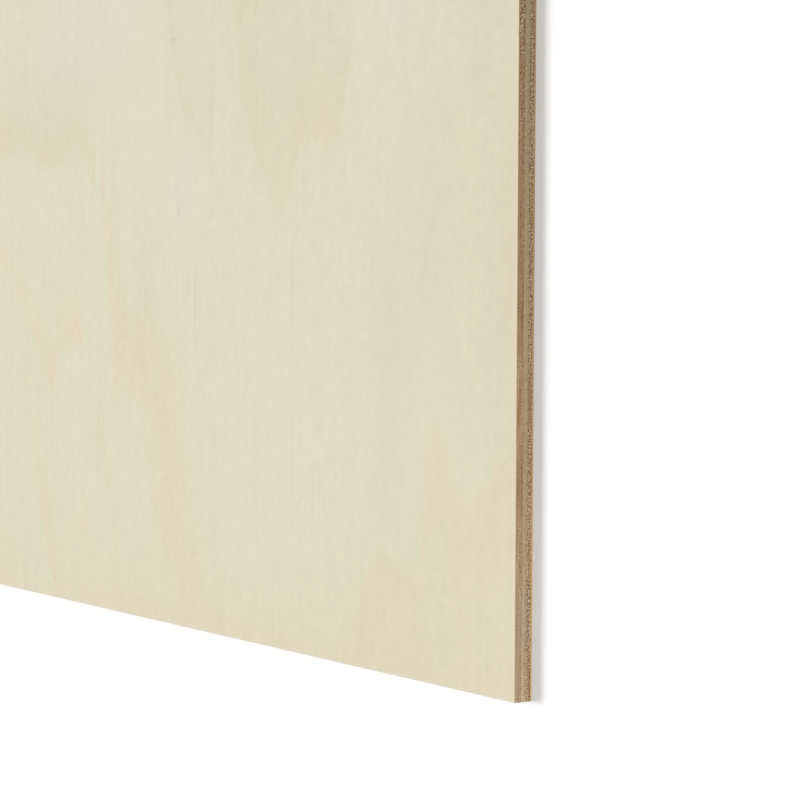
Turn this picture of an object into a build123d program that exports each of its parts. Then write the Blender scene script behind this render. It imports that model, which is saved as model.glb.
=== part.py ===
from build123d import *
import os

# A sheet of five-ply plywood, lying flat with its face up.
# Five rotary-cut veneers are glued up crosswise. The grain of the two outer veneers and of the core
# runs along the sheet, in X, and the grain of the two crossbands between them runs across it, in Y.
# Z goes up through the plies, and the origin is the middle of the back. All sizes are in mm.

# Format of the trimmed sheet
sheet_length = 1220.0
sheet_width = 610.0

# Thickness of each ply after pressing and sanding
back_veneer_thickness = 0.6
back_crossband_thickness = 1.4
core_thickness = 1.8
face_crossband_thickness = 1.8
face_veneer_thickness = 0.4

# Arris left by sanding on the outer edges, measured along each of the two surfaces that meet there
back_arris = 0.2
face_arris = 0.15

# Height of each glue line above the back, where one ply ends and the next begins
back_veneer_glue_line = back_veneer_thickness
back_crossband_glue_line = back_veneer_glue_line + back_crossband_thickness
core_glue_line = back_crossband_glue_line + core_thickness
face_crossband_glue_line = core_glue_line + face_crossband_thickness


def trimmed_veneer(underside, thickness):
    """A veneer cut to the sheet's format, from its underside up."""
    veneer = Box(sheet_length, sheet_width, thickness, align=(Align.CENTER, Align.CENTER, Align.MIN))
    return Pos(0, 0, underside) * veneer


def back_veneer():
    """The veneer that the sheet lies on, with its lower edges eased."""
    veneer = trimmed_veneer(0, back_veneer_thickness)
    back = veneer.faces().sort_by(Axis.Z)[0]
    return chamfer(back.edges(), back_arris)


def back_crossband():
    """The thinner crossband, sanded down less than the back and laid with its grain across."""
    return trimmed_veneer(back_veneer_glue_line, back_crossband_thickness)


def core():
    """The middle ply, with its grain along the sheet."""
    return trimmed_veneer(back_crossband_glue_line, core_thickness)


def face_crossband():
    """The thicker crossband, under the face, with its grain across."""
    return trimmed_veneer(core_glue_line, face_crossband_thickness)


def face_veneer():
    """The thin clear veneer that shows, with its upper edges eased."""
    veneer = trimmed_veneer(face_crossband_glue_line, face_veneer_thickness)
    face = veneer.faces().sort_by(Axis.Z)[-1]
    return chamfer(face.edges(), face_arris)


layup = {
    "back_veneer": back_veneer(),
    "back_crossband": back_crossband(),
    "core": core(),
    "face_crossband": face_crossband(),
    "face_veneer": face_veneer(),
}

os.makedirs("parts", exist_ok=True)
for name, ply in layup.items():
    export_step(ply, f"parts/{name}.step")
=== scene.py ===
import math

import bpy
import numpy as np
from mathutils import Matrix, Vector


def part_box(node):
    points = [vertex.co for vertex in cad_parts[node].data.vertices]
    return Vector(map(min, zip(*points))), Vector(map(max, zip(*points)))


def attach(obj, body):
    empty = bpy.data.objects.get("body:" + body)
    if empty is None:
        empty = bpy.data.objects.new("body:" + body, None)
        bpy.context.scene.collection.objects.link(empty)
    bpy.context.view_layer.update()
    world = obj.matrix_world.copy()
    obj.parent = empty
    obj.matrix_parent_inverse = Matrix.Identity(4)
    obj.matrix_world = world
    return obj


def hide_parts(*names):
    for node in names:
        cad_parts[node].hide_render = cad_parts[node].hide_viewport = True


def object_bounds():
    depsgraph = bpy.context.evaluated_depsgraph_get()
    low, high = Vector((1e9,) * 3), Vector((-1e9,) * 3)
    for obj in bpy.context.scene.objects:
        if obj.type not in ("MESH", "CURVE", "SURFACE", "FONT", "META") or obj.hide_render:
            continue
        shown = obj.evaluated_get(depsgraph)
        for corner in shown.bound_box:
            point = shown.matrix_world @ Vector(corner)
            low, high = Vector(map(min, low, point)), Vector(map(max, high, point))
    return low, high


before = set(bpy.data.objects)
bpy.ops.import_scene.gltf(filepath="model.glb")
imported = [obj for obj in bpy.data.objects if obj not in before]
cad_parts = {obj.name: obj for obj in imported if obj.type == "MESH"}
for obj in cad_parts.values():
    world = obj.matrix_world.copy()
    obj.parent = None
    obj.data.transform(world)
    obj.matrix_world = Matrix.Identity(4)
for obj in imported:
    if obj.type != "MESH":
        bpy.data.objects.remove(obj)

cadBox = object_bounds()
mm = 0.001
halfLong = cadBox[1].x / mm   # mm from the middle of the sheet to its ends
halfWide = cadBox[1].y / mm   # and to its long edges
faceHeight = cadBox[1].z / mm
print("frame is in:", round(2 * halfLong), "x", round(2 * halfWide), "x", round(faceHeight, 2), "mm")


# Camera: the lens of the photograph, placed from the corner of the sheet that it shows

photoCamera = {
    "cornerSide": (-1, -1),               # which end and which long edge meet at that corner
    "fromCorner": (84.9, -407.2, 313.4),  # mm from the corner, at the face, to the lens
    "azimuth": -0.195,                    # degrees from +Y towards +X
    "elevation": 33.995,                  # degrees looked down
    "roll": -0.382,                       # degrees that the sheet's length leans in the picture
    "focalShare": 1860 / 800,             # focal length in widths of the picture
    "sensor": 36.0,
    "nearest": 0.01,                      # metres from the lens within which nothing is drawn
}


def makeCamera(look):
    corner = Vector((look["cornerSide"][0] * halfLong, look["cornerSide"][1] * halfWide, faceHeight))
    azimuth, elevation, roll = (math.radians(look[k]) for k in ("azimuth", "elevation", "roll"))
    ahead = Vector((math.sin(azimuth) * math.cos(elevation), math.cos(azimuth) * math.cos(elevation),
                    -math.sin(elevation)))
    # up in the picture is the sheet's length, squared to the line of sight and then rolled round it
    along = (Vector((1, 0, 0)) - ahead * ahead.x).normalized()
    up = along * math.cos(roll) + ahead.cross(along) * math.sin(roll)
    camera = bpy.data.objects.new("photoCamera", bpy.data.cameras.new("photoCamera"))
    camera.data.sensor_width = look["sensor"]
    camera.data.lens = look["sensor"] * look["focalShare"]
    camera.data.clip_start = look["nearest"]
    turn = Matrix((ahead.cross(up), up, -ahead)).transposed().to_4x4()
    camera.matrix_world = Matrix.Translation((corner + Vector(look["fromCorner"])) * mm) @ turn
    bpy.context.collection.objects.link(camera)
    bpy.context.scene.camera = camera


makeCamera(photoCamera)
print("camera is at the photographed corner")


# Shader nodes

sandedSheen = 0.08               # specular level of bare sanded wood, where a polished surface has 0.5
seedShift = (17.3, 5.9, 11.1)    # steps along x, y and z that each seed moves a noise by


def paint(red, green, blue):
    # a colour as read off a screen, 0 to 255, in the linear numbers that shaders take
    def linear(value):
        value /= 255
        return value / 12.92 if value <= 0.04045 else ((value + 0.055) / 1.055) ** 2.4
    return linear(red), linear(green), linear(blue), 1.0


class GrainNodes:
    # Lays one material's nodes. Every input takes either a plain value or another node's output.

    def __init__(self, name):
        self.material = bpy.data.materials.new(name)
        self.material.use_nodes = True
        self.tree = self.material.node_tree
        self.tree.nodes.clear()

    def node(self, kind, inputs, **settings):
        made = self.tree.nodes.new(kind)
        for key, value in settings.items():
            setattr(made, key, value)
        for key, value in inputs.items():
            if isinstance(value, bpy.types.NodeSocket):
                self.tree.links.new(value, made.inputs[key])
            else:
                made.inputs[key].default_value = value
        return made

    def calc(self, operation, *values):
        return self.node("ShaderNodeMath", dict(enumerate(values)), operation=operation).outputs[0]

    def plus(self, a, b):
        return self.calc("ADD", a, b)

    def minus(self, a, b):
        return self.calc("SUBTRACT", a, b)

    def times(self, a, b):
        return self.calc("MULTIPLY", a, b)

    def fading(self, distance, reach):
        # 1 at no distance, and after each reach a little over a third of what it was
        return self.calc("EXPONENT", self.calc("DIVIDE", distance, -reach))

    def between(self, value, start, end, low=0.0, high=1.0):
        # a smooth step: goes from low to high while value goes from start to end
        return self.node("ShaderNodeMapRange", {0: value, 1: start, 2: end, 3: low, 4: high},
                         interpolation_type="SMOOTHSTEP").outputs[0]

    def bell(self, *spans):
        # 1 where each span's value is at its middle, falling off both ways over its half width
        squares = [self.calc("POWER", self.calc("DIVIDE", self.minus(value, middle), halfWidth), 2.0)
                   for value, middle, halfWidth in spans]
        return self.fading(squares[0] if len(squares) == 1 else self.plus(*squares), 1.0)

    def split(self, vector):
        return self.node("ShaderNodeSeparateXYZ", {0: vector}).outputs

    def shiftedMm(self, vector, pitch, seed):
        # coordinates in which every pitch along x, y and z is one step, moved by the seed
        return self.node("ShaderNodeMapping", {
            "Vector": vector, "Location": tuple(seed * shift for shift in seedShift),
            "Scale": tuple(1 / p for p in pitch)}).outputs[0]

    def noise(self, vector, pitch, seed, detail=2.0, roughness=0.5):
        # soft noise, 0 to 1, with its grains as long along x, y and z as pitch says
        return self.node("ShaderNodeTexNoise", {
            "Vector": self.shiftedMm(vector, pitch, seed), "Scale": 1.0, "Detail": detail,
            "Roughness": roughness}).outputs[0]

    def swing(self, vector, pitch, seed, reach, detail=2.0):
        # the same noise as a value that swings round nought
        return self.times(self.minus(self.noise(vector, pitch, seed, detail), 0.5), 2 * reach)

    def mix(self, share, below, above):
        return self.node("ShaderNodeMix", {0: share, 6: below, 7: above}, data_type="RGBA").outputs[2]

    def shade(self, colour, streak, strength):
        # the colour a little lighter or darker as the streak goes above or below nought
        factor = self.calc("MULTIPLY_ADD", streak, strength, 1.0)
        return self.node("ShaderNodeVectorMath", {0: colour, "Scale": factor}, operation="SCALE").outputs[0]

    def curve(self, value, points):
        # a line drawn through points of 0 to 1, straight between them
        made = self.node("ShaderNodeFloatCurve", {"Factor": 1.0, "Value": value})
        line = made.mapping.curves[0].points
        for x, y in points[1:-1]:
            line.new(x, y)
        made.mapping.update()
        for point, place in zip(line, sorted(points)):
            point.location = place
            point.handle_type = "VECTOR"
        made.mapping.update()
        return made.outputs[0]

    def sheetMm(self):
        # the object's own coordinates in millimetres
        place = self.node("ShaderNodeTexCoord", {}).outputs["Object"]
        return self.node("ShaderNodeVectorMath", {0: place, "Scale": 1 / mm}, operation="SCALE").outputs[0]

    def finish(self, colour, height, depth, dullest, shiniest):
        # Bare sanded wood. Depth is the mm that a streak of 1 stands proud, and proud fibres shine a little.
        bump = self.node("ShaderNodeBump", {"Height": height, "Distance": depth * mm, "Strength": 1.0})
        self.node("ShaderNodeBsdfPrincipled", {
            "Base Color": colour, "Roughness": self.between(height, -1.0, 1.0, dullest, shiniest),
            "Specular IOR Level": sandedSheen, "Normal": bump.outputs[0]}, name="wood")
        self.node("ShaderNodeOutputMaterial", {0: self.tree.nodes["wood"].outputs[0]})
        return self.material


# Ply meshes

edgeMesh = {
    "longSteps": 2432,    # steps along each long edge, about half a millimetre
    "shortSteps": 1216,
    "halvings": 5,        # rings of the flat sides, each with half the steps of the one outside it
    "firstRing": 0.7,     # mm from the edge to the first ring
    "ringGrowth": 2.1,    # each next gap is this many times as wide
    "glueWander": [(0.09, 70), (0.04, 9)],   # mm that a glue line strays by, and over how many steps
    "glueSeed": 1000,
    "touching": 0.001,    # mm within which two heights are one
    "sharpAngle": 35.0,   # degrees, past which an arris isn't shaded smooth
    "strips": 38,         # rows that the edge is laid out in on the map
    "stripMargin": 0.06,  # share of a strip left free above and below it
    "sideMargin": 0.002,  # share of the map left free at both ends of a strip
}


def outlineWalk(longSteps, shortSteps):
    # once round a square from -1 to 1, from the corner at -x -y towards +x: each side is a straight run
    long = np.linspace(-1, 1, longSteps + 1)[:-1]
    short = np.linspace(-1, 1, shortSteps + 1)[:-1]
    x = np.concatenate([long, np.ones(shortSteps), -long, -np.ones(shortSteps)])
    y = np.concatenate([-np.ones(longSteps), short, np.ones(longSteps), -short])
    return np.stack([x, y], 1)


def latticeNoise(walkCount, rowHeights, walkPitch, rowPitch, seed):
    # random heights, 0 to 1, on a lattice that closes round the walk, joined by smooth steps
    random = np.random.default_rng(seed)
    rows = int(np.ceil(rowHeights.max() / rowPitch)) + 2
    lattice = random.random((max(int(round(walkCount / walkPitch)), 3), rows))
    along = np.arange(walkCount) * len(lattice) / walkCount
    up = rowHeights / rowPitch
    a, b = along.astype(int), up.astype(int)
    s, t = ((f * f * (3 - 2 * f)) for f in (along - a, up - b))
    s, t = s[None, :], t[:, None]
    nextA = (a + 1) % len(lattice)
    corner = [lattice[i][:, j].T for i in (a, nextA) for j in (b, b + 1)]
    return (corner[0] * (1 - s) + corner[2] * s) * (1 - t) + (corner[1] * (1 - s) + corner[3] * s) * t


def walkSteps():
    # how many steps the walk once round a ply's outline has
    return 2 * (edgeMesh["longSteps"] + edgeMesh["shortSteps"])


def ringInsets():
    # mm in from the edge to each ring: the gaps between rings grow by the same factor each time
    gaps = edgeMesh["firstRing"] * edgeMesh["ringGrowth"] ** np.arange(edgeMesh["halvings"])
    return np.cumsum(gaps)


def glueLine(height):
    # How far the boundary at this height strays up or down, once round the walk. Both plies that meet
    # there ask for the same height, so they get the same line. The outer faces don't stray.
    line = np.zeros(walkSteps())
    if edgeMesh["touching"] < height < faceHeight - edgeMesh["touching"]:
        for reach, walkPitch in edgeMesh["glueWander"]:
            # each height, in hundredths of a mm, has a seed of its own
            seed = edgeMesh["glueSeed"] + round(100 * height) + walkPitch
            line += reach * (latticeNoise(len(line), np.zeros(1), walkPitch, 1, seed)[0] - 0.5)
    return line


def edgePlaces(rowHeights, rowInsets, relief):
    # The trimmed edge is a grid of the walk round the outline by the rows through the thickness. A point's
    # distance in from the outline is its row's inset plus the relief there, and its height is its row's,
    # moved by the share of the glue lines above and below that fits its row.
    walk = outlineWalk(edgeMesh["longSteps"], edgeMesh["shortSteps"])
    inset = np.maximum(rowInsets[:, None] + relief, 0)
    upShare = ((rowHeights - rowHeights[0]) / (rowHeights[-1] - rowHeights[0]))[:, None]
    places = np.empty((len(rowHeights), len(walk), 3))
    places[:, :, :2] = walk[None] * (np.array([halfLong, halfWide]) - inset[:, :, None])
    places[:, :, 2] = (rowHeights[:, None] + glueLine(rowHeights[0]) * (1 - upShare)
                       + glueLine(rowHeights[-1]) * upShare)
    return places.reshape(-1, 3)


def edgeFaces(count, rows):
    # the steps and rows at which the edge's faces start, and the faces, each one step by one row
    k, row = (cells.ravel() for cells in np.meshgrid(np.arange(count), np.arange(rows - 1)))
    nextK = (k + 1) % count
    faces = np.stack([row * count + k, row * count + nextK, (row + 1) * count + nextK,
                      (row + 1) * count + k], -1)
    return k, row, faces


def flatFaces(ringStarts, innerStart, upwards):
    # rings of five-sided faces, two outer steps to each inner one, and then a grid up to the last ring
    faces = []
    longSteps, shortSteps = edgeMesh["longSteps"], edgeMesh["shortSteps"]
    for level in range(edgeMesh["halvings"]):
        outerCount = walkSteps() >> level
        innerCount = outerCount // 2
        k = np.arange(innerCount)
        outer = [ringStarts[level] + (2 * k + i) % outerCount for i in range(3)]
        inner = [ringStarts[level + 1] + (k + i) % innerCount for i in (1, 0)]
        faces.append(np.stack(outer + inner, 1))
    nLong, nShort = longSteps >> edgeMesh["halvings"], shortSteps >> edgeMesh["halvings"]
    grid = np.empty((nLong + 1, nShort + 1), int)
    i, j = np.arange(nLong + 1), np.arange(nShort + 1)
    last = ringStarts[-1]
    grid[:, 0] = last + i
    grid[-1, :] = last + nLong + j
    grid[::-1, -1] = last + nLong + nShort + i
    grid[0, ::-1] = last + (2 * nLong + nShort + j) % (2 * (nLong + nShort))
    grid[1:-1, 1:-1] = innerStart + np.arange((nLong - 1) * (nShort - 1)).reshape(nLong - 1, nShort - 1)
    faces.append(np.stack([grid[:-1, :-1], grid[1:, :-1], grid[1:, 1:], grid[:-1, 1:]], -1).reshape(-1, 4))
    return faces if upwards else [f[:, ::-1] for f in faces]


def flatSide(height, firstRing, firstFree, upwards):
    # A flat side of a ply, from the edge's own row inwards: each ring is the outline drawn in by its inset,
    # and within the last ring is an even grid. Gives the new places, and the faces in groups.
    half = np.array([halfLong, halfWide])
    longSteps, shortSteps = edgeMesh["longSteps"], edgeMesh["shortSteps"]
    rings = [outlineWalk(longSteps >> level, shortSteps >> level) * (half - ringInset)
             for level, ringInset in enumerate(ringInsets(), start=1)]
    starts = firstFree + np.cumsum([0] + [len(ring) for ring in rings])
    x, y = (np.linspace(-1, 1, (steps >> edgeMesh["halvings"]) + 1)[1:-1] * reach
            for steps, reach in zip((longSteps, shortSteps), half - ringInsets()[-1]))
    inner = np.stack(np.meshgrid(x, y, indexing="ij"), -1).reshape(-1, 2)
    flat = np.concatenate(rings + [inner])
    faces = flatFaces([firstRing, *starts[:-1]], starts[-1], upwards)
    return np.column_stack([flat, np.full(len(flat), height)]), faces


def edgeMap(k, row, count, rowHeights, rowInsets, mapShares):
    # The edge on the map: strips stacked in rows above the two flat sides. The walk goes along each strip,
    # and the distance along the edge's profile goes up it.
    girth = np.concatenate([[0], np.cumsum(np.hypot(np.diff(rowHeights), np.diff(rowInsets)))])
    girth = girth / girth[-1]
    lowest, highest = mapShares["edge"]
    margin, sideMargin = edgeMesh["stripMargin"], edgeMesh["sideMargin"]
    perStrip = count // edgeMesh["strips"]
    across = ((k % perStrip)[:, None] + np.array([0, 1, 1, 0])) / perStrip
    tall = np.stack([girth[row], girth[row], girth[row + 1], girth[row + 1]], -1)
    strip = (k // perStrip)[:, None]
    up = lowest + (strip + margin + (1 - 2 * margin) * tall) * (highest - lowest) / edgeMesh["strips"]
    return np.stack([sideMargin + (1 - 2 * sideMargin) * across, up], -1).reshape(-1, 2)


def flatMap(places, mapShare):
    # a flat side on the map: its own length and width, drawn to fit the share that it has
    left, low, right, high = mapShare
    place = places[:, :2] / np.array([halfLong, halfWide]) / 2 + 0.5
    return np.array([left, low]) + place * np.array([right - left, high - low])


def plyMesh(name, rowHeights, rowInsets, relief, mapShares):
    # a trimmed ply: its edge, and a flat side joined to the edge's lowest row and another to its highest
    edge = edgePlaces(rowHeights, rowInsets, relief)
    count = walkSteps()
    k, row, sides = edgeFaces(count, len(rowHeights))
    low, lowFaces = flatSide(rowHeights[0], 0, len(edge), False)
    high, highFaces = flatSide(rowHeights[-1], len(edge) - count, len(edge) + len(low), True)
    places = np.concatenate([edge, low, high])
    faces = [f for group in [sides, *lowFaces, *highFaces] for f in group.tolist()]
    mesh = bpy.data.meshes.new(name)
    mesh.from_pydata(places * mm, [], faces)
    mesh.polygons.foreach_set("use_smooth", np.ones(len(mesh.polygons), bool))
    mesh.update()
    mesh.set_sharp_from_angle(angle=math.radians(edgeMesh["sharpAngle"]))
    maps = [edgeMap(k, row, count, rowHeights, rowInsets, mapShares)]
    for groups, side in ((lowFaces, "back"), (highFaces, "face")):
        maps += [flatMap(places[group.reshape(-1)], mapShares[side]) for group in groups]
    layer = mesh.uv_layers.new(name="OFBake")
    layer.uv.foreach_set("vector", np.concatenate(maps).astype(np.float32).ravel())
    return mesh


def nickedEdge(look, count):
    # dents in the upper arris of the long edge at -y: each is a bell of the distance from its middle
    steps = np.arange(count) * 2 * halfLong / edgeMesh["longSteps"] - halfLong
    return sum((depth * np.exp(-((steps - middle) / halfWidth) ** 2)
                for middle, depth, halfWidth in look.get("nicks", [])), np.zeros(count))


def makePly(name, node, look, material):
    # Each ply's dictionary gives its rows through the thickness, the mm by which its low and high arris are
    # eased, and its shares of the map: left, low, right and high, or lowest and highest for the edge. A
    # relief is a depth in mm, a length in steps of the walk, a height in mm, a power that makes it sparser,
    # and a seed. A nick is a place, a depth and a half width in mm.
    low, high = (corner.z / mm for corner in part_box(node))
    thick = high - low
    lowEase, highEase = look["lowEase"], look["highEase"]
    inner = np.linspace(0, 1, look["rows"])[1:-1]
    rows = np.concatenate([[0, lowEase], lowEase + inner * (thick - lowEase - highEase),
                           [thick - highEase, thick]])
    insets = np.concatenate([[lowEase], np.zeros(len(rows) - 2), [highEase]])
    relief = np.zeros((len(rows), walkSteps()))
    for depth, walkPitch, rowPitch, power, seed in look["relief"]:
        relief += depth * latticeNoise(walkSteps(), rows, walkPitch, rowPitch, seed) ** power
    relief[-2:] += nickedEdge(look, walkSteps())
    piece = bpy.data.objects.new(name, plyMesh(name, low + rows, insets, relief, look["mapShares"]))
    piece.data.materials.append(material)
    bpy.context.collection.objects.link(piece)
    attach(piece, "root")
    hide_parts(node)
    print(name, "is", len(piece.data.polygons), "faces,", round(thick, 2), "mm thick")


# Face veneer: pale, close-grained and sanded, with a faint flame figure

# In this dictionary and the next ones, a pitch is the length in mm of a noise's grains along x, y and z.
# Four values together are a smooth step: where it starts and ends, and what it is at both.
faceVeneer = {
    "rows": 3, "lowEase": 0.02, "highEase": 0.1,
    "relief": [(0.05, 60, 5.0, 1, 11), (0.05, 6, 5.0, 3, 12)],
    "nicks": [(-425.4, 0.14, 0.5), (-566, 0.1, 0.5), (-251, 0.16, 0.7), (173, 0.12, 0.5)],
    "mapShares": {"face": (0.0, 0.36, 1.0, 1.0), "back": (0.0, 0.0, 0.45, 0.12), "edge": (0.14, 0.34)},
    "seed": 21,
    "wood": paint(224, 217, 193.5),
    "coolWood": paint(225, 219, 196.5),
    "lilacWood": paint(224.5, 217.5, 200),
    "warmWood": paint(225, 213, 187),
    "rimHighlight": paint(229, 213, 183),      # close to the long edges: a painted highlight along their arris, brighter and creamier than the face
    "endFringeLight": paint(219, 216, 201),      # and to the ends: a painted cool, whitish fringe of light
    "cutEdgeColour": paint(206, 175, 132),     # below the face, where the veneer is cut through
    "blush": paint(229, 209, 181),        # pinkish bands between the ring lines
    "mauve": paint(218, 206, 184),        # duller ones
    "ash": paint(216, 211, 186),
    "flame": paint(236, 210, 178),        # ring lines
    "olive": paint(219, 210, 172),
    "hairline": paint(206, 197, 172),
    "speck": paint(160, 146, 118),
    "warmth": 0.12,                       # share of warmWood at the photographed end
    "warmReach": 90.0,                    # mm from there in which it goes
    "hairlinePitch": (70, 0.8, 3), "hairlines": (0.64, 0.78, 0.0, 0.35),
    "fibreStrength": 0.02,
    "rim": (0.6, 1.7, 0.85, 0.0),         # mm from a long edge, and the share of the painted highlight there
    "endRim": (0.2, 1.1, 0.7, 0.0),       # mm from an end, and the share of that painted fringe of light
    "cutDepths": (0.1, 0.02),             # mm below the face between which the cut edge's colour ends
    "finish": (0.01, 0.86, 0.74),         # mm that fibres stand proud, roughness of hollows and of fibres
    # mm of the photographed corner, across and along, and in how many of them its figure fades
    "drawn": {"y": (-305.0, 190.0), "x": (-620.0, -300.0), "fade": 45.0},
    # ring lines fray along the grain, sway across it and are fainter in gaps
    "fray": {"pitch": (7, 1.8, 50), "seed": 3, "reach": 6.0, "detail": 3},
    "sway": {"pitch": (28, 9, 50), "seed": 4, "reach": 2.5},
    "gaps": {"pitch": (26, 9, 50), "seed": 5, "detail": 2}, "gapShares": (0.36, 0.64, 0.25, 1.0),
    "lineWidth": 8.0,                     # mm along the grain in which a ring line dies away
    "lineBlur": 5.0,                      # mm on both sides of it in which it begins
    "turnShare": 0.004,                   # of the width across, in which a line turns to run off
    "fronts": [
        # a ring line's colour and strength, the colour, strength and width in mm of the band beside it,
        # the side of the band, and the line's points: mm across the grain and mm along it
        ("olive", 0.7, "ash", 0.22, 90, 1,
         [(-92, -380), (-96, -398), (-101, -416), (-107, -425), (-115, -432), (-122, -439), (-127, -449),
          (-128, -439), (-129, -380)]),
        ("olive", 0.65, "ash", 0.26, 90, 1,
         [(-142, -380), (-151, -429), (-159, -442), (-167, -455), (-172, -463), (-180, -463), (-184, -450),
          (-190, -435), (-198, -437), (-205, -442), (-213, -437), (-220, -414), (-224, -380)]),
        ("flame", 0.34, "blush", 0.1, 16, 1,
         [(-163, -380), (-167, -450), (-172, -462), (-180, -461), (-184, -448), (-190, -438), (-198, -439),
          (-205, -444), (-213, -439), (-215, -380)]),
        ("flame", 0.5, "blush", 0.0, 9, 1,
         [(-144, -370), (-147, -391), (-154, -397), (-162, -391), (-165, -370)]),
        ("flame", 0.34, "blush", 0.36, 24, 1,
         [(112, -417), (124, -422), (134, -438), (141, -462), (150, -508), (160, -566), (172, -618)]),
        ("olive", 0.9, "blush", 0.3, 20, 1,
         [(118, -430), (110, -416), (80, -424), (61, -419), (48, -417), (37, -421), (30, -428), (18, -430),
          (5, -429), (-3, -425), (-12, -422), (-18, -427), (-26, -435), (-30, -455)]),
        ("flame", 0.34, "blush", 0.42, 26, 1,
         [(-31, -430), (-38, -457), (-41, -473), (-48, -504), (-53, -520), (-69, -527), (-77, -533),
          (-82, -565), (-101, -586), (-114, -609), (-120, -618)]),
        ("flame", 0.7, "blush", 0.14, 12, 1,
         [(138, -618), (131, -560), (125, -498), (120, -460), (116, -443), (110, -440), (70, -467),
          (58, -474), (47, -485), (27, -505), (19, -516), (12, -522), (7, -516), (5, -505), (-8, -498),
          (-18, -505), (-20, -520)]),
        ("olive", 0.4, "blush", 0.06, 12, 1,
         [(-22, -515), (-33, -540), (-45, -567), (-53, -604), (-57, -618)]),
        ("flame", 0.3, "blush", 0.46, 26, 1,
         [(45, -512), (33, -541), (29, -558), (10, -602), (4, -618)]),
        ("flame", 0.32, "blush", 0.0, 5, 1,
         [(-5, -590), (-9, -580), (-14, -583), (-19, -579), (-26, -590), (-32, -618)]),
        ("flame", 0.22, "blush", 0.42, 90, -1,
         [(-216, -618), (-220, -605), (-225, -591), (-229, -579), (-237, -572), (-245, -575), (-251, -578),
          (-257, -579), (-260, -556), (-262, -536), (-271, -536), (-274, -553), (-280, -556), (-286, -555),
          (-291, -551), (-296, -545), (-305, -543)]),
    ],
    "streaks": [
        # colour, strength, middle across the grain and along it, half width and half length in mm
        ("lilacWood", 0.9, -19, -380, 76, 40), ("lilacWood", 0.6, 20, -452, 44, 19),
        ("lilacWood", 0.6, -72, -425, 28, 34), ("lilacWood", 0.8, -106, -452, 22, 34),
        ("lilacWood", 0.6, -119, -482, 13, 30), ("lilacWood", 0.7, -137, -427, 7, 26),
        ("lilacWood", 0.7, -243, -408, 34, 18), ("coolWood", 1.0, -180, -530, 50, 60),
        ("coolWood", 0.8, -150, -480, 40, 34), ("coolWood", 0.7, 46, -541, 22, 44),
        ("mauve", 0.22, 21, -408, 48, 18), ("mauve", 0.25, -76, -485, 12, 26),
        ("mauve", 0.3, -241, -514, 12, 46), ("mauve", 0.24, -262, -480, 13, 34),
        ("mauve", 0.36, -297, -480, 9, 60), ("mauve", 0.25, -292, -420, 11, 40),
        ("mauve", 0.2, -300, -532, 7, 30), ("mauve", 0.2, -178, -405, 36, 34),
        ("blush", 0.5, -303, -486, 3, 50), ("blush", 0.5, 68, -412, 10, 10),
        ("blush", 0.45, -45, -466, 5, 36), ("blush", 0.5, -54, -504, 9, 20),
        ("blush", 0.48, -74, -510, 20, 19), ("blush", 0.46, -92, -530, 16, 32),
        ("blush", 0.48, -98, -562, 14, 34), ("blush", 0.48, -115, -600, 11, 30),
        ("blush", 0.4, -6, -501, 10, 7), ("blush", 0.3, -238, -598, 9, 14),
        ("blush", 0.25, -264, -552, 5, 16), ("blush", 0.25, -282, -584, 5, 16),
        ("blush", 0.35, -200, -440, 13, 6), ("flame", 0.22, -50, -510, 5, 18),
        ("mauve", 0.2, 128, -372, 26, 34), ("lilacWood", 0.4, 158, -400, 16, 70),
        ("lilacWood", 0.3, -80, -398, 30, 24), ("hairline", 0.08, -258, -594, 44, 34),
        ("hairline", 0.45, -115, -492, 0.5, 15), ("hairline", 0.45, -183.5, -489, 0.5, 15),
        ("speck", 0.2, -97, -395, 2.6, 0.8), ("speck", 0.14, -102, -459, 1.6, 0.8),
    ],
}


class ColourShares:
    # how much of each of a veneer's colours lies at a point: the larger of the parts that ask for it

    def __init__(self, grain):
        self.grain = grain
        self.shares = {}

    def add(self, name, part):
        known = self.shares.get(name)
        self.shares[name] = self.grain.calc("MAXIMUM", known, part) if known else part

    def over(self, colour, look):
        for name, share in self.shares.items():
            colour = self.grain.mix(share, colour, look[name])
        return colour


def withTails(spots, turn):
    # a line's points from 0 to 1 across: past its last points it runs straight off along the grain
    (firstAcross, firstAlong), (lastAcross, lastAlong) = spots[0], spots[-1]
    if firstAcross > 0:
        spots = [(0.0, round(firstAlong)), (firstAcross - turn, round(firstAlong))] + spots
    if lastAcross < 1:
        spots = spots + [(lastAcross + turn, round(lastAlong)), (1.0, round(lastAlong))]
    return spots


def ringFronts(grain, place, look, here, shares):
    # Ring lines of the photographed corner. A line is a distance along the grain for each place across it.
    # Its colour is strongest at the line and dies away on one side, and a band's dies away more slowly.
    x, y, _ = grain.split(place)
    frayed = grain.plus(x, grain.swing(place, **look["fray"]))
    faint = grain.times(grain.between(grain.noise(place, **look["gaps"]), *look["gapShares"]), here)
    (lowY, highY), (lowX, highX) = look["drawn"]["y"], look["drawn"]["x"]
    swaying = grain.plus(y, grain.swing(place, **look["sway"]))
    across = grain.calc("DIVIDE", grain.minus(swaying, lowY), highY - lowY)
    for lineColour, lineStrength, bandColour, bandStrength, bandWidth, side, points in look["fronts"]:
        spots = sorted(((py - lowY) / (highY - lowY), (px - lowX) / (highX - lowX)) for py, px in points)
        drawnLine = grain.curve(across, withTails(spots, look["turnShare"]))
        line = grain.calc("MULTIPLY_ADD", drawnLine, highX - lowX, lowX)
        past = grain.times(grain.minus(frayed, line), side)
        onSide = grain.between(past, -look["lineBlur"], look["lineBlur"])
        gone = grain.calc("MAXIMUM", past, 0.0)
        near = grain.times(grain.fading(gone, look["lineWidth"]), grain.times(faint, lineStrength))
        far = grain.times(grain.fading(gone, bandWidth), grain.times(here, bandStrength))
        shares.add(bandColour, grain.times(onSide, far))
        shares.add(lineColour, grain.times(onSide, near))


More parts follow.
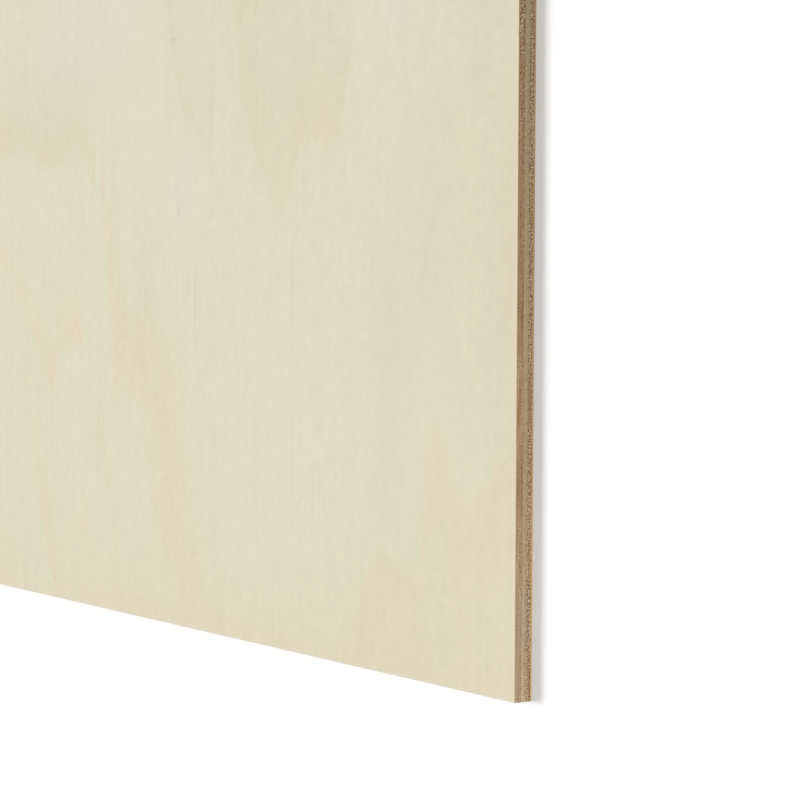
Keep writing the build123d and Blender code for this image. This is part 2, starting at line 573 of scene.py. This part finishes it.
def handStreaks(grain, place, look, here, shares):
    # soft ovals: each is a bell of the distance from its middle, in half widths and half lengths
    x, y, _ = grain.split(place)
    for name, strength, middleY, middleX, halfWidth, halfLength in look["streaks"]:
        oval = grain.bell((y, middleY, halfWidth), (x, middleX, halfLength))
        shares.add(name, grain.times(oval, grain.times(here, strength)))


# Grain that both veneers have

veneerGrain = {
    "flameSeed": 10, "fibreSeed": 20, "hairlineSeed": 30,   # added to the veneer's own seed
    "mottlePitch": (300, 110, 400), "mottle": (0.35, 0.65),
    "field": {"pitch": (520, 85, 400), "detail": 2, "roughness": 0.45},
    "rings": 9.0,                                         # that the field swings through
    "waver": {"pitch": (30, 5, 400), "detail": 3, "roughness": 0.55},
    "waverReach": 0.45,                                   # part of a ring
    "patchPitch": (240, 60, 400), "patches": (0.3, 0.65, 0.1, 1.0),
    "bandReach": 0.28, "bandStrength": 0.5,               # the reaches are parts of a ring
    "lineReach": 0.06, "lineStrength": 0.55,
    "dullPitch": (340, 26, 400), "dull": (0.5, 0.72, 0.0, 0.24),
    "coolPitch": (330, 48, 400), "cool": (0.48, 0.68, 0.0, 0.7),
    # fine straight streaks along X in three lengths: pitch, reach and detail
    "fibres": [((110, 4.8, 3), 0.65, 2), ((15, 3.6, 2), 0.85, 1), ((2.9, 3.1, 1), 2.0, 1)],
}


def mottled(grain, place, look):
    # the veneer's two tones in broad soft patches
    patches = grain.noise(place, veneerGrain["mottlePitch"], look["seed"])
    return grain.mix(grain.between(patches, *veneerGrain["mottle"]), look["coolWood"], look["wood"])


def flameFigure(grain, place, where, seed, shares):
    # Contour lines of a soft field that changes much faster across the grain than along it. Each contour
    # is a line with a broader band behind it, and the figure comes and goes in patches.
    look = veneerGrain
    field = grain.times(grain.noise(place, seed=seed, **look["field"]), look["rings"])
    waver = grain.times(grain.noise(place, seed=seed + 1, **look["waver"]), look["waverReach"])
    ring = grain.calc("FRACT", grain.plus(field, waver))
    patch = grain.between(grain.noise(place, look["patchPitch"], seed + 2, 1), *look["patches"])
    patch = grain.times(patch, where)
    band = grain.times(grain.fading(ring, look["bandReach"]), grain.times(patch, look["bandStrength"]))
    line = grain.times(grain.fading(ring, look["lineReach"]), grain.times(patch, look["lineStrength"]))
    shares.add("blush", band)
    shares.add("flame", line)
    # duller and cooler patches, unlike the rings in where they lie
    dull = grain.between(grain.noise(place, look["dullPitch"], seed + 3, 2), *look["dull"])
    cool = grain.between(grain.noise(place, look["coolPitch"], seed + 4, 2), *look["cool"])
    shares.add("mauve", grain.times(dull, where))
    shares.add("lilacWood", grain.times(cool, where))


def fibres(grain, place, seed):
    # the three lengths of streak together, about -1 to 1
    longOnes, middling, short = (grain.swing(place, pitch, seed + i, reach, detail)
                                 for i, (pitch, reach, detail) in enumerate(veneerGrain["fibres"]))
    return grain.plus(longOnes, grain.plus(middling, short))


def figured(grain, place, look, colour, where, shares):
    # the colour with the flame figure, hairlines and fibres over it, and the fibres' streaks
    seed = look["seed"]
    flameFigure(grain, place, where, seed + veneerGrain["flameSeed"], shares)
    hairs = grain.noise(place, look["hairlinePitch"], seed + veneerGrain["hairlineSeed"], 1)
    shares.add("hairline", grain.between(hairs, *look["hairlines"]))
    streak = fibres(grain, place, seed + veneerGrain["fibreSeed"])
    return grain.shade(shares.over(colour, look), streak, look["fibreStrength"]), streak


def faceVeneerWood(look):
    grain = GrainNodes("faceVeneerWood")
    place = grain.sheetMm()
    x, y, z = grain.split(place)
    warm = grain.between(x, -halfLong, -halfLong + look["warmReach"], look["warmth"], 0.0)
    colour = grain.mix(warm, mottled(grain, place, look), look["warmWood"])
    # the figure drawn at the photographed corner gives way to an even flame figure further off
    drawn = look["drawn"]
    away = grain.calc("MAXIMUM", *(grain.between(value, drawn[key][1] - drawn["fade"], drawn[key][1])
                                   for value, key in ((x, "x"), (y, "y"))))
    here = grain.minus(1.0, away)
    shares = ColourShares(grain)
    ringFronts(grain, place, look, here, shares)
    handStreaks(grain, place, look, here, shares)
    colour, streak = figured(grain, place, look, colour, away, shares)
    # the last of the face before the trimmed edges, and what lies below it
    fromEnd = grain.minus(halfLong, grain.calc("ABSOLUTE", x))
    fromSide = grain.minus(halfWide, grain.calc("ABSOLUTE", y))
    # a painted cool fringe of light along the ends
    colour = grain.mix(grain.between(fromEnd, *look["endRim"]), colour, look["endFringeLight"])
    # a painted highlight along the long edges' arris
    colour = grain.mix(grain.between(fromSide, *look["rim"]), colour, look["rimHighlight"])
    cutStart, cutEnd = (faceHeight - depth for depth in look["cutDepths"])
    colour = grain.mix(grain.between(z, cutStart, cutEnd, 1.0, 0.0), colour, look["cutEdgeColour"])
    return grain.finish(colour, streak, *look["finish"])


# Back veneer: warmer than the face, and more strongly figured, with painted warm bounce light on its cut
# edge

backVeneer = {
    "rows": 3, "lowEase": 0.05, "highEase": 0.02,
    "relief": [(0.05, 60, 5.0, 1, 41), (0.05, 6, 5.0, 3, 42)],
    "mapShares": {"face": (0.0, 0.0, 0.45, 0.12), "back": (0.0, 0.36, 1.0, 1.0), "edge": (0.14, 0.34)},
    "seed": 121,
    "wood": paint(227, 208, 177),
    "coolWood": paint(225, 210, 183),
    "lilacWood": paint(224, 208, 186),
    "blush": paint(223, 193, 156),
    "mauve": paint(212, 190, 160),
    "flame": paint(215, 179, 140),
    "hairline": paint(196, 172, 136),
    # the cut edge, brighter and warmer than this wood: painted warm bounce light
    "cutEdgeColour": paint(250, 208, 154),
    "hairlinePitch": (45, 0.8, 3), "hairlines": (0.68, 0.8, 0.0, 0.6),
    "fibreStrength": 0.03,
    "cutHeights": (0.02, 0.1),            # mm above the back between which the cut edge's brighter colour, painted warm bounce light, begins
    "finish": (0.02, 0.88, 0.76),
}


def backVeneerWood(look):
    grain = GrainNodes("backVeneerWood")
    place = grain.sheetMm()
    _, _, z = grain.split(place)
    colour, streak = figured(grain, place, look, mottled(grain, place, look), 1.0, ColourShares(grain))
    # above the back, the cut edge takes the brighter, warmer colour of painted bounce light
    colour = grain.mix(grain.between(z, *look["cutHeights"]), colour, look["cutEdgeColour"])
    return grain.finish(colour, streak, *look["finish"])


# Inner plies: what the crossbands and the core have alike

# Beside these, each has its own glueBelow and glueAbove, how strongly glue colours it at its flat sides,
# checks, how much darker a lathe check is, and lightTone and darkTone, how far its tone goes from nought
# until it is wholly light or dark.
innerPly = {
    "rows": 6, "lowEase": 0.02, "highEase": 0.02,
    "mapShares": {"face": (0.0, 0.0, 0.48, 0.15), "back": (0.5, 0.0, 0.98, 0.15), "edge": (0.17, 1.0)},
    "floorLitStretch": (22.0, 42.0),          # mm from the photographed end between which the paler, less yellow colour ends: painted cool bounce light from the floor
    "skin": (0.6, 0.3),                   # mm in from a cut side between which its own look takes over
    "stainPitch": (17, 17, 2.6), "stains": (0.56, 0.74, 0.0, 0.5),
    "soakPitch": (2.2, 2.2, 9), "soak": 0.14,             # mm that glue soaks in at most
    "soakEdge": (0.3, 1.3),               # parts of the soak between which the glue dies away
    "fullPitch": (12, 12, 9), "fullness": (0.3, 0.6, 0.5, 1.0),
    "checkLean": 0.6,                     # mm along the edge for each mm up
    "checkSway": {"pitch": (9, 9, 50), "reach": 2.5},
    "checkWidth": 0.09,                   # mm from a lathe check's middle to either side
    "checkPower": 1.5,                    # over 1, short checks are more frequent than long ones
    "checkTip": 0.15,                     # mm in which a check closes
}


def glued(grain, place, node, look, colour, seed):
    # Glue soaked in from both flat sides of a ply. How far it reaches and how dark it is are uneven along
    # the edge, and here and there a warm stain lies over the whole ply.
    low, high = (corner.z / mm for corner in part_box(node))
    _, _, z = grain.split(place)
    stain = grain.between(grain.noise(place, look["stainPitch"], seed + 1, 1), *look["stains"])
    colour = grain.mix(stain, colour, look["stain"])
    reach = grain.times(grain.noise(place, look["soakPitch"], seed, 2), look["soak"])
    fullness = grain.between(grain.noise(place, look["fullPitch"], seed + 2, 1), *look["fullness"])
    for gap, most in ((grain.minus(z, low), look["glueBelow"]), (grain.minus(high, z), look["glueAbove"])):
        near = grain.between(grain.calc("DIVIDE", gap, reach), *look["soakEdge"], most, 0.0)
        colour = grain.mix(grain.times(near, fullness), colour, look["glue"])
    return colour


def latheChecks(grain, place, node, along, look, seed):
    # Fine cracks that the peeling knife leaves in a ply's lower side. They lean, and each reaches its own
    # share of the way up: a line wherever the distance along the edge, plus the lean, passes a whole pitch.
    low, high = (corner.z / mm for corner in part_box(node))
    _, _, z = grain.split(place)
    up = grain.minus(z, low)
    leaning = grain.plus(grain.plus(along, grain.times(up, look["checkLean"])),
                         grain.swing(place, seed=seed, **look["checkSway"]))
    step = grain.calc("DIVIDE", leaning, look["checkPitch"])
    fromMiddle = grain.calc("ABSOLUTE", grain.minus(grain.calc("FRACT", step), 0.5))
    crack = grain.between(fromMiddle, 0.0, look["checkWidth"] / look["checkPitch"], 1.0, 0.0)
    own = grain.node("ShaderNodeTexWhiteNoise", {"W": grain.calc("FLOOR", step)}, noise_dimensions="1D")
    reach = grain.times(grain.calc("POWER", own.outputs[0], look["checkPower"]), high - low)
    return grain.times(crack, grain.between(grain.minus(reach, up), 0.0, look["checkTip"]))


def skinAt(grain, value, half, look):
    # 1 at the two cut sides that stand this far from the middle, and nought inside
    start, full = (half - depth for depth in look["skin"])
    return grain.between(grain.calc("ABSOLUTE", value), start, full)


def toned(grain, x, look, tone):
    # the ply's own colour, paler and less yellow near the photographed end where cool floor light is painted
    # in, lighter where tone is over nought and darker where it is under
    first, last = (mmIn - halfLong for mmIn in look["floorLitStretch"])
    own = grain.mix(grain.between(x, first, last, 1.0, 0.0), look["wood"], look["floorLitWood"])
    colour = grain.mix(grain.between(tone, 0.0, look["lightTone"]), own, look["light"])
    return grain.mix(grain.between(tone, 0.0, -look["darkTone"]), colour, look["dark"])


def innerWood(grain, place, node, look, tone, along, uncut):
    # What ends every inner ply's material: lathe checks, its colours by tone, and the glue at both sides.
    # No check shows where uncut is 1, because the sheet's side doesn't cut the ply's grain across there.
    x, _, _ = grain.split(place)
    seed = look["seed"]
    checks = latheChecks(grain, place, node, along, look, seed + 5)
    tone = grain.minus(tone, grain.times(grain.times(checks, grain.minus(1.0, uncut)), look["checks"]))
    colour = glued(grain, place, node, look, toned(grain, x, look, tone), seed + 7)
    return grain.finish(colour, tone, *look["finish"])


# Crossbands: grain along Y, so the long edges of the sheet cut it across

crossband = {
    **innerPly,
    "poreDeep": 9,                                        # mm that a pore runs in from the edge
    "bunchPitch": (16, 30, 3), "bunches": (0.38, 0.6, 0.65, 1.0),
    "calmFade": 15,                                       # mm on both sides of calmPast
    "endStreakPitch": (9, 26, 0.35), "endStreak": 0.8,
    "broadPitch": (14, 120, 0.9), "broad": 0.8,
    "checks": 0.8, "lightTone": 0.8, "darkTone": 1.0,
    "finish": (0.05, 0.9, 0.76),
}

# Each has its own pore, as width and height in mm. Where x is below calmPast, flecks are calm times as
# strong. Stretches near the photographed corner are lighter or darker: middle, half length in mm, and tone.
faceCrossband = {
    **crossband,
    "relief": [(0.04, 80, 5.0, 1, 21), (0.09, 2, 0.45, 3, 22)],
    # the second colour here is paler and less yellow: painted cool bounce light from the floor near the
    # photographed end
    "wood": paint(200, 167, 125), "floorLitWood": paint(199, 172, 139),
    "dark": paint(128, 96, 60), "light": paint(246, 220, 182),
    "stain": paint(186, 146, 96), "glue": paint(112, 86, 54),
    "glueBelow": 0.64, "glueAbove": 0.5,
    "pore": (0.5, 0.65), "fleck": 5.8, "calm": 0.4, "calmPast": -450.0,
    "checkPitch": 2.1, "seed": 61,
    "stretches": [(-444.7, 4, -0.1), (-486, 4, 0.15), (-502.8, 4.5, -0.33), (-511, 4.5, -0.2),
                  (-519.4, 4.5, 0.2), (-536, 4.5, 0.26), (-550.5, 7, -0.3), (-600, 4, 0.3)],
}

backCrossband = {
    **crossband,
    "relief": [(0.04, 80, 5.0, 1, 51), (0.09, 2, 0.45, 3, 52)],
    # the second colour here is paler and less yellow: painted cool bounce light from the floor near the
    # photographed end
    "wood": paint(207, 172, 128), "floorLitWood": paint(205, 172, 131),
    "dark": paint(128, 91, 54), "light": paint(255, 236, 200),
    "stain": paint(196, 154, 108), "glue": paint(110, 72, 34),
    "glueBelow": 0.85, "glueAbove": 0.3,
    "pore": (0.42, 0.55), "fleck": 6.0, "calm": 1.0, "calmPast": -700.0,
    "checkPitch": 1.3, "seed": 81,
    "stretches": [(-420, 5, 0.34), (-428, 4, 0.08), (-457, 7.5, 0.2), (-478, 4.5, -0.13),
                  (-494.5, 4.5, 0.3), (-552.6, 4.5, -0.16), (-573.4, 8, 0.28), (-588, 6, -0.07)],
}


def crossbandWood(name, node, look):
    # pores on the long edges, where the grain is cut across, and long thin streaks on the ends
    grain = GrainNodes(name)
    place = grain.sheetMm()
    x, _, _ = grain.split(place)
    seed = look["seed"]
    poreWide, poreTall = look["pore"]
    pores = grain.swing(place, (poreWide, look["poreDeep"], poreTall), seed, look["fleck"] / 2, 1)
    bunches = grain.between(grain.noise(place, look["bunchPitch"], seed + 2, 1), *look["bunches"])
    calmStart, calmEnd = look["calmPast"] - look["calmFade"], look["calmPast"] + look["calmFade"]
    calm = grain.times(bunches, grain.between(x, calmStart, calmEnd, look["calm"], 1.0))
    streaks = grain.swing(place, look["endStreakPitch"], seed + 4, look["endStreak"])
    atEnd = skinAt(grain, x, halfLong, look)
    atSide = grain.times(grain.times(pores, calm), grain.minus(1.0, atEnd))
    tone = grain.plus(atSide, grain.times(streaks, atEnd))
    tone = grain.plus(tone, grain.swing(place, look["broadPitch"], seed + 1, look["broad"]))
    for middle, halfLength, lighter in look["stretches"]:
        tone = grain.plus(tone, grain.times(grain.bell((x, middle, halfLength)), lighter))
    return innerWood(grain, place, node, look, tone, x, atEnd)


# Core: grain along X, so the ends of the sheet cut it across

core = {
    **innerPly,
    "relief": [(0.04, 80, 5.0, 1, 31), (0.03, 12, 0.3, 1, 32)],
    # the second colour here is paler and less yellow: painted cool bounce light from the floor near the
    # photographed end
    "wood": paint(214, 190, 149), "floorLitWood": paint(214, 192, 155),
    "dark": paint(160, 136, 98), "light": paint(232, 208, 168),
    "stain": paint(206, 172, 124), "glue": paint(118, 96, 62),
    "glueBelow": 0.42, "glueAbove": 0.44,
    "porePitch": (0.55, 0.8, 0.75), "pores": 0.5,
    "streakPitch": (60, 12, 0.9), "streaks": 0.4,
    "checkPitch": 2.6, "checks": 0.3, "lightTone": 0.4, "darkTone": 0.45,
    "finish": (0.06, 0.9, 0.76), "seed": 71,
}


def coreWood(node, look):
    # long streaks and fine pores, and lathe checks at the ends
    grain = GrainNodes("coreWood")
    place = grain.sheetMm()
    _, y, _ = grain.split(place)
    seed = look["seed"]
    tone = grain.plus(grain.swing(place, look["porePitch"], seed, look["pores"], 1),
                      grain.swing(place, look["streakPitch"], seed + 1, look["streaks"]))
    return innerWood(grain, place, node, look, tone, y, skinAt(grain, y, halfWide, look))


makePly("faceVeneer", "face_veneer", faceVeneer, faceVeneerWood(faceVeneer))
makePly("faceCrossband", "face_crossband", faceCrossband,
        crossbandWood("faceCrossbandWood", "face_crossband", faceCrossband))
makePly("corePly", "core", core, coreWood("core", core))
makePly("backCrossband", "back_crossband", backCrossband,
        crossbandWood("backCrossbandWood", "back_crossband", backCrossband))
makePly("backVeneer", "back_veneer", backVeneer, backVeneerWood(backVeneer))


# Floor, daylight and lamps

studio = {
    "floorSize": 8.0,      # metres
    "floorColour": (0.62, 0.62, 0.61, 1),               # what lights the sheet from below
    "floorShownWhite": 0.78, "floorShownGlow": 0.27,    # what a camera sees
    "daylight": 0.42, "daylightShown": 1.0,
    "keyTilt": 42.0,       # degrees between the key light and the upright, towards +Y
    "keyWidth": 28.0,      # degrees that it spreads over
    "keyShare": 0.562,     # of the light that falls on the face
    "cardFrom": (-90, -300, 34),    # mm from the photographed corner to the middle of a low lit card
    "cardSize": 70.0, "cardPower": 0.038, "cardColour": (0.94, 0.96, 1.0),
    "cardSpread": 70.0,    # degrees that its light fans out over
}


def makeFloor(look):
    half = look["floorSize"] / 2
    corners = [(-half, -half, 0), (half, -half, 0), (half, half, 0), (-half, half, 0)]
    mesh = bpy.data.meshes.new("floor")
    mesh.from_pydata(corners, [], [(0, 1, 2, 3)])
    floor = bpy.data.objects.new("floor", mesh)
    grain = GrainNodes("floorPaper")
    path = grain.node("ShaderNodeLightPath", {}).outputs
    seen = grain.calc("MAXIMUM", grain.calc("MAXIMUM", path["Is Camera Ray"], path["Is Glossy Ray"]),
                      path["Is Transmission Ray"])
    white = look["floorShownWhite"]
    lit = grain.node("ShaderNodeBsdfDiffuse", {0: look["floorColour"]}).outputs[0]
    shown = grain.node("ShaderNodeBsdfDiffuse", {0: (white, white, white, 1)}).outputs[0]
    glow = grain.node("ShaderNodeEmission", {1: look["floorShownGlow"]}).outputs[0]
    shown = grain.node("ShaderNodeAddShader", {0: shown, 1: glow}).outputs[0]
    both = grain.node("ShaderNodeMixShader", {0: seen, 1: lit, 2: shown}).outputs[0]
    grain.node("ShaderNodeOutputMaterial", {0: both})
    mesh.materials.append(grain.material)
    bpy.context.collection.objects.link(floor)


def makeWorld(look):
    world = bpy.data.worlds.new("daylight")
    bpy.context.scene.world = world
    world.use_nodes = True
    tree = world.node_tree
    tree.nodes.clear()
    path = tree.nodes.new("ShaderNodeLightPath").outputs
    seen = path["Is Camera Ray"]
    for ray in ("Is Glossy Ray", "Is Transmission Ray"):
        either = tree.nodes.new("ShaderNodeMath")
        either.operation = "MAXIMUM"
        tree.links.new(seen, either.inputs[0])
        tree.links.new(path[ray], either.inputs[1])
        seen = either.outputs[0]
    strength = tree.nodes.new("ShaderNodeMapRange")
    tree.links.new(seen, strength.inputs[0])
    strength.inputs[3].default_value = look["daylight"]
    strength.inputs[4].default_value = look["daylightShown"]
    back = tree.nodes.new("ShaderNodeBackground")
    tree.links.new(strength.outputs[0], back.inputs["Strength"])
    back.inputs["Color"].default_value = (1, 1, 1, 1)
    out = tree.nodes.new("ShaderNodeOutputWorld")
    tree.links.new(back.outputs[0], out.inputs[0])


def makeKey(look):
    tilt = math.radians(look["keyTilt"])
    lamp = bpy.data.lights.new("keyLight", "SUN")
    lamp.energy = math.pi * look["keyShare"] / math.cos(tilt)
    lamp.angle = math.radians(look["keyWidth"])
    key = bpy.data.objects.new("keyLight", lamp)
    towards = Vector((0, -math.sin(tilt), -math.cos(tilt)))
    key.rotation_euler = towards.to_track_quat("-Z", "Y").to_euler()
    bpy.context.collection.objects.link(key)


def makeCard(look):
    # stands low, so that it lights the trimmed edge near the corner and hardly the face
    corner = Vector((-halfLong, -halfWide, faceHeight / 2))
    lamp = bpy.data.lights.new("lowCard", "AREA")
    lamp.shape, lamp.size, lamp.energy = "SQUARE", look["cardSize"] * mm, look["cardPower"]
    lamp.color = look["cardColour"]
    lamp.spread = math.radians(look["cardSpread"])
    card = bpy.data.objects.new("lowCard", lamp)
    card.location = (corner + Vector(look["cardFrom"])) * mm
    card.rotation_euler = (-Vector(look["cardFrom"])).to_track_quat("-Z", "Y").to_euler()
    card.visible_camera = False
    bpy.context.collection.objects.link(card)


makeFloor(studio)
makeWorld(studio)
makeKey(studio)
makeCard(studio)
bpy.context.scene.view_settings.view_transform = "Standard"
print("floor and lights are set")
